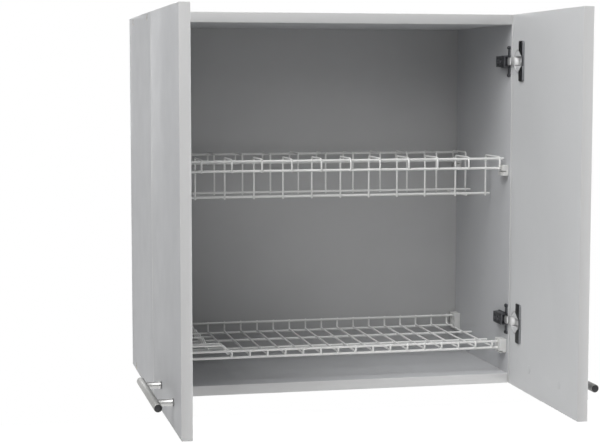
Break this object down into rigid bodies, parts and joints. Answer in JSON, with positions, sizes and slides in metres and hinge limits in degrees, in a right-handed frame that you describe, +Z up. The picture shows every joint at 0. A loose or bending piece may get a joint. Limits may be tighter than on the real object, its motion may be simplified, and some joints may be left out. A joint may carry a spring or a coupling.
{
  "type": "kitchen wall cabinet",
  "caption": "wall cabinet with a pair of side-hung doors on concealed hinges, bar handles, a wire plate rack above and a wire cup rack below, clipped between the sides",
  "frame": {"origin": "on the wall plane, in the middle of the bottom board's rear edge, at half that board's thickness", "axes": "+X to the right seen from the room, +Y towards the wall, +Z up"},
  "size_m": [0.665, 0.5999, 0.6],
  "materials": {
    "light_grey_laminate": "light grey melamine-faced chipboard, satin",
    "grey_back_board": "light grey lacquered hardboard",
    "brushed_steel": "satin steel",
    "dark_nickel": "dark nickel plating",
    "bright_nickel": "bright nickel plating",
    "zinc_plated_steel": "zinc plating",
    "white_wire_coating": "white coated steel wire, satin",
    "white_plastic": "moulded white plastic",
    "grey_cover_cap": "self-adhesive cap in the laminate's grey, satin"
  },
  "bodies": {
    "carcass": {"side_left": "light_grey_laminate", "side_right": "light_grey_laminate", "bottom_board": "light_grey_laminate", "top_board": "light_grey_laminate", "back_board": "grey_back_board", "hinge_left_upper_plate": "dark_nickel", "hinge_left_upper_arm": "dark_nickel", "hinge_left_lower_plate": "dark_nickel", "hinge_left_lower_arm": "dark_nickel", "hinge_right_upper_plate": "dark_nickel", "hinge_right_upper_arm": "dark_nickel", "hinge_right_lower_plate": "dark_nickel", "hinge_right_lower_arm": "dark_nickel", "hanger_left": "zinc_plated_steel", "hanger_right": "zinc_plated_steel", "corner_screw_1": "zinc_plated_steel", "corner_screw_2": "zinc_plated_steel", "corner_screw_3": "zinc_plated_steel", "corner_screw_4": "zinc_plated_steel", "corner_screw_5": "zinc_plated_steel", "corner_screw_6": "zinc_plated_steel", "corner_screw_7": "zinc_plated_steel", "corner_screw_8": "zinc_plated_steel", "plate_rack": "white_wire_coating", "cup_rack": "white_wire_coating", "plate_clip_front_left": "white_plastic", "plate_clip_front_right": "white_plastic", "plate_clip_rear_left": "white_plastic", "plate_clip_rear_right": "white_plastic", "cup_clip_front_left": "white_plastic", "cup_clip_front_right": "white_plastic", "cup_clip_rear_left": "white_plastic", "cup_clip_rear_right": "white_plastic"},
    "left_door": {"door_left": "light_grey_laminate", "handle_left_bar": "brushed_steel", "handle_left_post_1": "brushed_steel", "handle_left_post_2": "brushed_steel", "handle_left_screw_1": "zinc_plated_steel", "handle_left_screw_2": "zinc_plated_steel", "handle_left_cap_1": "grey_cover_cap", "handle_left_cap_2": "grey_cover_cap", "hinge_left_upper_cup": "dark_nickel", "hinge_left_upper_link": "bright_nickel", "hinge_left_lower_cup": "dark_nickel", "hinge_left_lower_link": "bright_nickel"},
    "right_door": {"door_right": "light_grey_laminate", "handle_right_bar": "brushed_steel", "handle_right_post_1": "brushed_steel", "handle_right_post_2": "brushed_steel", "handle_right_screw_1": "zinc_plated_steel", "handle_right_screw_2": "zinc_plated_steel", "handle_right_cap_1": "grey_cover_cap", "handle_right_cap_2": "grey_cover_cap", "hinge_right_upper_cup": "dark_nickel", "hinge_right_upper_link": "bright_nickel", "hinge_right_lower_cup": "dark_nickel", "hinge_right_lower_link": "bright_nickel"}
  },
  "joints": [
    {"name": "left_door_hinge", "type": "hinge", "parent": "carcass", "child": "left_door", "pos_m": [-0.291, -0.3103, 0.292], "axis": [0, 0, -1], "range_deg": [-89.5, 15.5]},
    {"name": "right_door_hinge", "type": "hinge", "parent": "carcass", "child": "right_door", "pos_m": [0.291, -0.3103, 0.292], "axis": [0, 0, 1], "range_deg": [-89.5, 15.5]}
  ]
}
